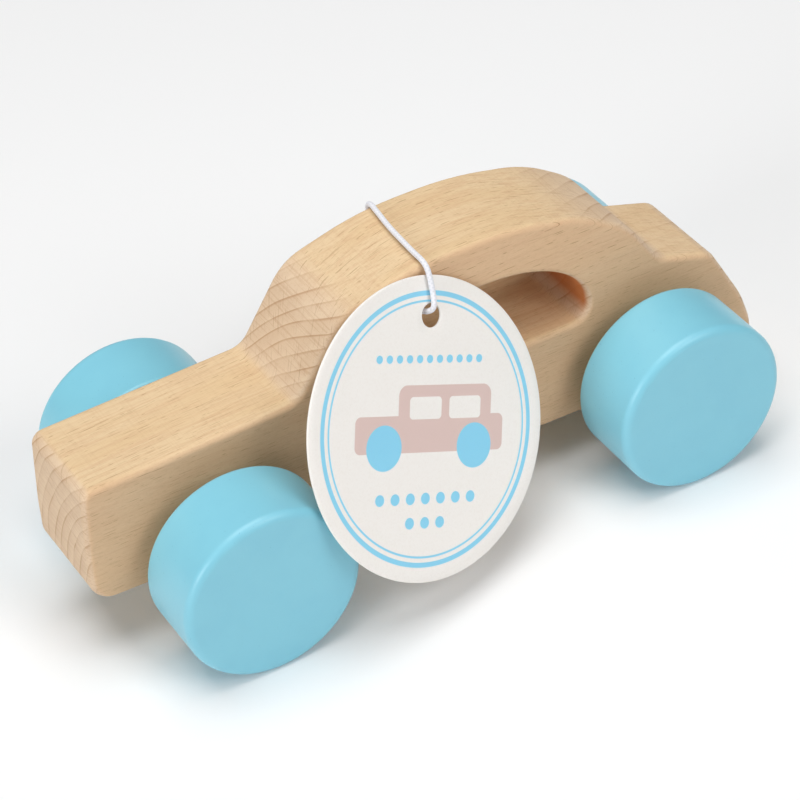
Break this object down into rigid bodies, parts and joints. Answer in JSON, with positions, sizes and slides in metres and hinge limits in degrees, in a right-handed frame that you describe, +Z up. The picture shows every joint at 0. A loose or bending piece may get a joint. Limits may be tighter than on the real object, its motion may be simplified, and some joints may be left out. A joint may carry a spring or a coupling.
{
  "type": "toy car",
  "caption": "Wooden push-along car: flat-sided saloon block with a D-shaped finger window, solid painted wheels on dowel axles and a round swing tag.",
  "frame": {"origin": "on the ground, under the middle of the block's length and width, with all wheels on the ground", "axes": "+X forward to the nose (bonnet), +Y to the car's left, where the tag hangs, +Z up"},
  "size_m": [0.163, 0.0773, 0.0682],
  "materials": {
    "beech_block": "fine sanded, bare",
    "beech_dowel": "bare turned",
    "painted_wood": "satin sky-blue paint on wood",
    "printed_card": "uncoated card with a two-colour print",
    "white_cord": "soft twisted cord"
  },
  "bodies": {
    "car_body": {"body": "beech_block", "tag_cord": "white_cord", "tag_cord_knot": "white_cord"},
    "front_wheelset": {"front_axle": "beech_dowel", "front_left_wheel": "painted_wood", "front_right_wheel": "painted_wood", "front_left_spacer": "beech_dowel", "front_right_spacer": "beech_dowel"},
    "rear_wheelset": {"rear_axle": "beech_dowel", "rear_left_wheel": "painted_wood", "rear_right_wheel": "painted_wood", "rear_left_spacer": "beech_dowel", "rear_right_spacer": "beech_dowel"},
    "tag": {"swing_tag": "printed_card"}
  },
  "joints": [
    {"name": "front_axle_spin", "type": "hinge", "parent": "car_body", "child": "front_wheelset", "pos_m": [0.0516, 0, 0.02], "axis": [0, 1, 0], "continuous": true},
    {"name": "rear_axle_spin", "type": "hinge", "parent": "car_body", "child": "rear_wheelset", "pos_m": [-0.0526, 0, 0.02], "axis": [0, 1, 0], "continuous": true},
    {"name": "tag_swing", "type": "hinge", "parent": "car_body", "child": "tag", "pos_m": [0.00161, 0.01669, 0.05829], "axis": [0, 1, 0], "range_deg": [-6, 30]}
  ]
}
